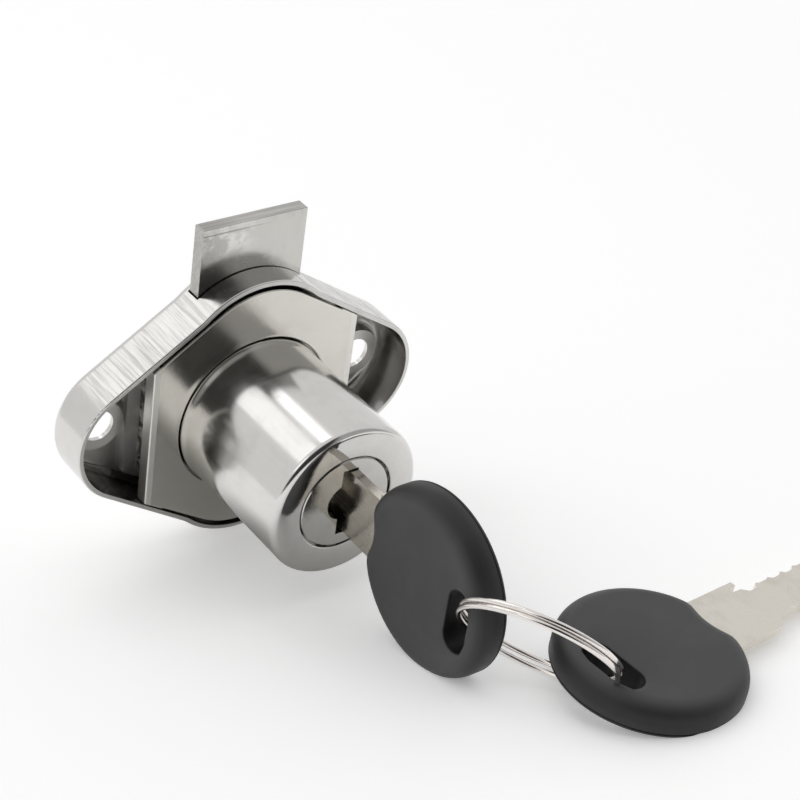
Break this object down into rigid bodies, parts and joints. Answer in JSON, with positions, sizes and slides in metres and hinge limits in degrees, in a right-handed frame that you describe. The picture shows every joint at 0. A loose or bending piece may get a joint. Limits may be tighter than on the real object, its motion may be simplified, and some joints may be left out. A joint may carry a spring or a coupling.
{
  "type": "drawer lock",
  "caption": "Rim drawer lock with a round key barrel, a sliding bolt in a diamond-shaped pressed case, and keys with plastic bows on a split ring.",
  "frame": {"origin": "on the barrel's axis, in the plane of the case's rim, which lies against the inside of the drawer front", "axes": "+Z is the way the bolt leaves the case, +Y runs from the key side into the drawer, +X is to the right seen from the key side"},
  "size_m": [0.0761, 0.0734, 0.0421],
  "materials": {
    "case_steel": "bright satin nickel on pressed steel",
    "plate_steel": "plain zinc-plated steel",
    "cast_zinc": "dull mottled zinc casting",
    "plate_nickel": "satin warm nickel",
    "shell_steel": "polished stainless cap with fine turning lines",
    "rivet_zinc": "plated, peened heads",
    "plug_nickel": "fine-turned nickel face",
    "spring_steel": "bright spring steel",
    "bolt_steel": "satin plated steel with a cloudy patina",
    "ring_steel": "polished nickel-plated wire",
    "key_nickel": "warm nickel silver, blanked and milled",
    "bow_plastic": "charcoal, fine matt texture",
    "wafer_brass": "blanked brass"
  },
  "bodies": {
    "lock": {"back_case": "case_steel", "base_plate": "plate_steel", "housing": "cast_zinc", "front_plate": "plate_nickel", "barrel_shell": "shell_steel", "case_rivets": "rivet_zinc"},
    "plug": {"plug": "plug_nickel", "drive_cam": "cast_zinc", "cam_clip": "spring_steel", "wafer_1": "wafer_brass", "wafer_2": "wafer_brass", "wafer_3": "wafer_brass", "wafer_4": "wafer_brass", "wafer_5": "wafer_brass", "wafer_6": "wafer_brass", "wafer_springs": "spring_steel"},
    "bolt": {"bolt": "bolt_steel"},
    "key_1": {"key_1_blade": "key_nickel", "key_1_bow_cover": "bow_plastic", "key_1_bow_base": "bow_plastic"},
    "ring": {"split_ring": "ring_steel"},
    "key_2": {"key_2_blade": "key_nickel", "key_2_bow_cover": "bow_plastic", "key_2_bow_base": "bow_plastic"}
  },
  "joints": [
    {"name": "plug_turn", "type": "hinge", "parent": "lock", "child": "plug", "pos_m": [0, 0, 0], "axis": [0, 1, 0], "range_deg": [0, 180]},
    {"name": "bolt_slide", "type": "slide", "parent": "lock", "child": "bolt", "axis": [0, 0, -1], "range_m": [0, 0.008]},
    {"name": "key_1_slide", "type": "slide", "parent": "plug", "child": "key_1", "axis": [0, -1, 0], "range_m": [0, 0.021]},
    {"name": "ring_swing", "type": "hinge", "parent": "key_1", "child": "ring", "pos_m": [0.0006, -0.04241, -0.00048], "axis": [-0.6364, 0.0125, 0.7712], "range_deg": [-10, 8]},
    {"name": "key_2_swing", "type": "hinge", "parent": "ring", "child": "key_2", "pos_m": [0.01031, -0.05638, -0.0023], "axis": [0.1222, 0.7277, -0.675], "range_deg": [-8, 10]}
  ],
  "couplings": [
    {"joint": "bolt_slide", "follows": "plug_turn", "m_per_rad": 0.0025465}
  ]
}
